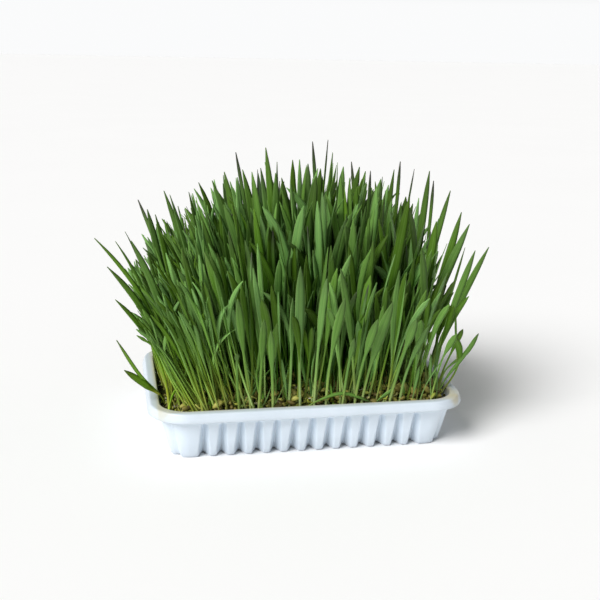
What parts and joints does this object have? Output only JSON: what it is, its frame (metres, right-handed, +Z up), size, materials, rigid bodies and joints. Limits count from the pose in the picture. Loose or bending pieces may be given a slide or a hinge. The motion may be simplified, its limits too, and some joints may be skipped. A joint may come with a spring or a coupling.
{
  "type": "wheatgrass tray",
  "caption": "Shallow fluted white plastic tray filled with soil and densely grown with young wheat, its shoots fanning out over the rim.",
  "frame": {"origin": "on the table, midway between the tray's feet", "axes": "+X along the tray's long side, +Y from front to back, +Z up"},
  "size_m": [0.2426, 0.1678, 0.1765],
  "materials": {
    "tray_plastic": "smooth thermoformed sheet, softly glossy, cool white",
    "soil": "damp dark potting soil with crumbs and root threads",
    "wheat_kernel": "matt golden-brown wheat kernels, husks and root threads, damp",
    "wheat_leaf": "fresh satin leaf with fine lengthwise veins, pale at the foot"
  },
  "bodies": {
    "root": {"tray": "tray_plastic", "soil_bed": "soil", "tuft_r1_c1": "wheat_leaf", "tuft_r1_c2": "wheat_leaf", "tuft_r1_c3": "wheat_leaf", "tuft_r1_c4": "wheat_leaf", "tuft_r1_c5": "wheat_leaf", "tuft_r1_c6": "wheat_leaf", "tuft_r1_c7": "wheat_leaf", "tuft_r1_c8": "wheat_leaf", "tuft_r1_c9": "wheat_leaf", "tuft_r2_c1": "wheat_leaf", "tuft_r2_c2": "wheat_leaf", "tuft_r2_c3": "wheat_leaf", "tuft_r2_c4": "wheat_leaf", "tuft_r2_c5": "wheat_leaf", "tuft_r2_c6": "wheat_leaf", "tuft_r2_c7": "wheat_leaf", "tuft_r2_c8": "wheat_leaf", "tuft_r2_c9": "wheat_leaf", "tuft_r3_c1": "wheat_leaf", "tuft_r3_c2": "wheat_leaf", "tuft_r3_c3": "wheat_leaf", "tuft_r3_c4": "wheat_leaf", "tuft_r3_c5": "wheat_leaf", "tuft_r3_c6": "wheat_leaf", "tuft_r3_c7": "wheat_leaf", "tuft_r3_c8": "wheat_leaf", "tuft_r3_c9": "wheat_leaf", "tuft_r4_c1": "wheat_leaf", "tuft_r4_c2": "wheat_leaf", "tuft_r4_c3": "wheat_leaf", "tuft_r4_c4": "wheat_leaf", "tuft_r4_c5": "wheat_leaf", "tuft_r4_c6": "wheat_leaf", "tuft_r4_c7": "wheat_leaf", "tuft_r4_c8": "wheat_leaf", "tuft_r4_c9": "wheat_leaf", "tuft_r5_c1": "wheat_leaf", "tuft_r5_c2": "wheat_leaf", "tuft_r5_c3": "wheat_leaf", "tuft_r5_c4": "wheat_leaf", "tuft_r5_c5": "wheat_leaf", "tuft_r5_c6": "wheat_leaf", "tuft_r5_c7": "wheat_leaf", "tuft_r5_c8": "wheat_leaf", "tuft_r5_c9": "wheat_leaf", "tuft_r6_c1": "wheat_leaf", "tuft_r6_c2": "wheat_leaf", "tuft_r6_c3": "wheat_leaf", "tuft_r6_c4": "wheat_leaf", "tuft_r6_c5": "wheat_leaf", "tuft_r6_c6": "wheat_leaf", "tuft_r6_c7": "wheat_leaf", "tuft_r6_c8": "wheat_leaf", "tuft_r6_c9": "wheat_leaf", "stray_shoot_left": "wheat_leaf", "stray_shoot_right": "wheat_leaf", "fallen_leaf_front": "wheat_leaf"}
  },
  "joints": []
}
